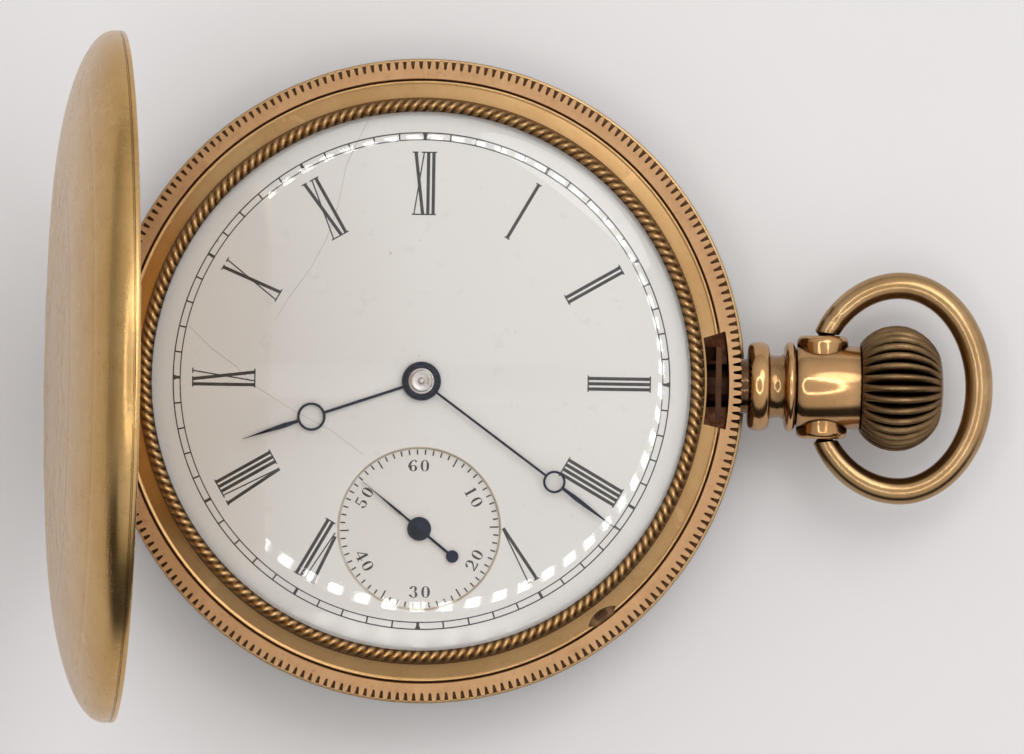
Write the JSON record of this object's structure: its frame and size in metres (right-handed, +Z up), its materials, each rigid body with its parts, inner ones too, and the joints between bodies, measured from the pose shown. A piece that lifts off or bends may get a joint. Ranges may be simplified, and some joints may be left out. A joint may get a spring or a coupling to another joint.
{
  "type": "hunter pocket watch",
  "caption": "Hunter-case pocket watch lying on its back with its front cover open, enamel dial, sunk seconds dial, moon hands, fluted crown, bow and wheel-work inside.",
  "frame": {"origin": "middle of the flat on the back cover that the watch rests on", "axes": "+Z up out of the dial, +X towards the crown, +Y towards twelve o'clock"},
  "size_m": [0.0597, 0.0414, 0.0497],
  "materials": {
    "gold": "worn rose-gold fill, satin",
    "worn_gold": "gold fill darkened by wear",
    "brass": "gilt brass",
    "nickel": "nickelled plate",
    "steel": "polished steel",
    "blued": "blued steel",
    "enamel": "white enamel",
    "glass": "clear crystal",
    "ruby": "jewel"
  },
  "bodies": {
    "case": {"case_band": "gold", "bezel": "gold", "crystal": "glass", "front_hinge_pin": "worn_gold", "back_hinge_pin": "worn_gold", "dust_hinge_pin": "worn_gold", "pendant": "worn_gold", "dial": "enamel", "seconds_dial": "enamel", "pillar_plate": "nickel", "top_plate": "nickel", "pillar_1": "brass", "pillar_2": "brass", "pillar_3": "brass", "plate_screw_1": "blued", "plate_screw_2": "blued", "plate_screw_3": "blued", "case_screw_1": "blued", "case_screw_2": "blued", "jewel_fourth": "ruby", "jewel_escape": "ruby", "balance_jewel": "ruby", "balance_cock": "nickel", "cock_screw": "blued", "pallet_bridge": "nickel", "lift_spring": "steel", "click_spring": "steel", "hairspring": "blued", "crown_wheel_screw": "blued"},
    "front_cover": {"front_cover": "gold"},
    "back_cover": {"back_cover": "gold"},
    "dust_cover": {"dust_cover": "gold"},
    "bow": {"bow": "gold"},
    "press": {"push_sleeve": "steel"},
    "lock": {"lock_spring": "steel"},
    "crown": {"crown": "worn_gold", "winding_stem": "steel", "winding_pinion": "steel"},
    "crown_wheel": {"crown_wheel": "steel"},
    "ratchet": {"ratchet_wheel": "steel", "barrel_arbor": "steel", "ratchet_screw": "blued"},
    "click": {"click": "steel"},
    "setting_lever": {"setting_lever": "blued"},
    "minute": {"cannon_pinion": "steel", "minute_hand": "blued"},
    "motion": {"minute_wheel": "brass"},
    "hour": {"hour_wheel": "brass", "hour_hand": "blued"},
    "fourth": {"fourth_wheel": "brass", "seconds_hand": "blued"},
    "third": {"third_wheel": "brass"},
    "centre": {"centre_wheel": "brass"},
    "escape": {"escape_wheel": "brass"},
    "barrel": {"barrel": "brass", "barrel_cover": "brass", "mainspring": "blued"},
    "fork": {"pallet_fork": "steel"},
    "balance": {"balance_wheel": "brass"},
    "regulator": {"regulator": "steel"}
  },
  "joints": [
    {"name": "front_cover_hinge", "type": "hinge", "parent": "case", "child": "front_cover", "pos_m": [-0.0206, 0, 0.00863], "axis": [0, -1, 0], "range_deg": [-82.5, 7.5]},
    {"name": "back_cover_hinge", "type": "hinge", "parent": "case", "child": "back_cover", "pos_m": [-0.0206, 0, 0.00417], "axis": [0, 1, 0], "range_deg": [0, 100]},
    {"name": "dust_cover_hinge", "type": "hinge", "parent": "case", "child": "dust_cover", "pos_m": [-0.0187, 0, 0.004], "axis": [0, 1, 0], "range_deg": [0, 80]},
    {"name": "bow_swing", "type": "hinge", "parent": "case", "child": "bow", "pos_m": [0.02601, 0, 0.006], "axis": [0, 1, 0], "range_deg": [-80, 80]},
    {"name": "crown_press", "type": "slide", "parent": "case", "child": "press", "axis": [1, 0, 0], "range_m": [-0.0005, 0], "stiffness_N_per_m": 2000},
    {"name": "catch_slide", "type": "slide", "parent": "case", "child": "lock", "axis": [1, 0, 0], "range_m": [-0.0005, 0]},
    {"name": "crown_turn", "type": "hinge", "parent": "press", "child": "crown", "pos_m": [0.028, 0, 0.006], "axis": [1, 0, 0], "continuous": true},
    {"name": "crown_wheel_turn", "type": "hinge", "parent": "case", "child": "crown_wheel", "pos_m": [0.0112, 0, 0.0032], "axis": [0, 0, 1], "continuous": true},
    {"name": "ratchet_turn", "type": "hinge", "parent": "case", "child": "ratchet", "pos_m": [0.0041, 0.00553, 0.0032], "axis": [0, 0, 1], "continuous": true},
    {"name": "click_swing", "type": "hinge", "parent": "case", "child": "click", "pos_m": [-0.00245, 0.00931, 0.0032], "axis": [0, 0, 1], "range_deg": [0, 8]},
    {"name": "setting_lever_pull", "type": "slide", "parent": "case", "child": "setting_lever", "axis": [0.6211, -0.7837, 0], "range_m": [0, 0.00035]},
    {"name": "minute_turn", "type": "hinge", "parent": "case", "child": "minute", "pos_m": [0, 0, 0.0075], "axis": [0, 0, -1], "continuous": true},
    {"name": "minute_wheel_turn", "type": "hinge", "parent": "case", "child": "motion", "pos_m": [0.00184, 0.00154, 0.0075], "axis": [0, 0, -1], "continuous": true},
    {"name": "hour_turn", "type": "hinge", "parent": "case", "child": "hour", "pos_m": [0, 0, 0.0077], "axis": [0, 0, -1], "continuous": true},
    {"name": "seconds_turn", "type": "hinge", "parent": "case", "child": "fourth", "pos_m": [0, -0.0094, 0.0054], "axis": [0, 0, -1], "continuous": true},
    {"name": "third_wheel_turn", "type": "hinge", "parent": "case", "child": "third", "pos_m": [0.00186, -0.00507, 0.0054], "axis": [0, 0, -1], "continuous": true},
    {"name": "centre_wheel_turn", "type": "hinge", "parent": "case", "child": "centre", "pos_m": [0, 0, 0.0054], "axis": [0, 0, -1], "continuous": true},
    {"name": "escape_wheel_turn", "type": "hinge", "parent": "case", "child": "escape", "pos_m": [-0.00455, -0.0086, 0.0054], "axis": [0, 0, -1], "continuous": true},
    {"name": "barrel_turn", "type": "hinge", "parent": "case", "child": "barrel", "pos_m": [0.0041, 0.00553, 0.0054], "axis": [0, 0, -1], "continuous": true},
    {"name": "pallet_fork_rock", "type": "hinge", "parent": "case", "child": "fork", "pos_m": [-0.00702, -0.0063, 0.0046], "axis": [0, 0, 1], "range_deg": [-4, 4]},
    {"name": "balance_swing", "type": "hinge", "parent": "case", "child": "balance", "pos_m": [-0.0096, -0.0039, 0.0034], "axis": [0, 0, 1], "range_deg": [-150, 150]},
    {"name": "regulator_move", "type": "hinge", "parent": "case", "child": "regulator", "pos_m": [-0.0096, -0.0039, 0.0022], "axis": [0, 0, 1], "range_deg": [-15, 15]}
  ],
  "couplings": [
    {"joint": "dust_cover_hinge", "follows": "back_cover_hinge", "ratio": 0.8},
    {"joint": "catch_slide", "follows": "crown_press", "ratio": 1},
    {"joint": "crown_wheel_turn", "follows": "crown_turn", "ratio": 0.5},
    {"joint": "ratchet_turn", "follows": "crown_turn", "ratio": -0.25},
    {"joint": "minute_wheel_turn", "follows": "minute_turn", "ratio": -0.33333},
    {"joint": "hour_turn", "follows": "minute_turn", "ratio": 0.083333},
    {"joint": "third_wheel_turn", "follows": "seconds_turn", "ratio": -0.13333},
    {"joint": "centre_wheel_turn", "follows": "seconds_turn", "ratio": 0.016667},
    {"joint": "escape_wheel_turn", "follows": "seconds_turn", "ratio": -10},
    {"joint": "barrel_turn", "follows": "seconds_turn", "ratio": -0.0020833}
  ]
}
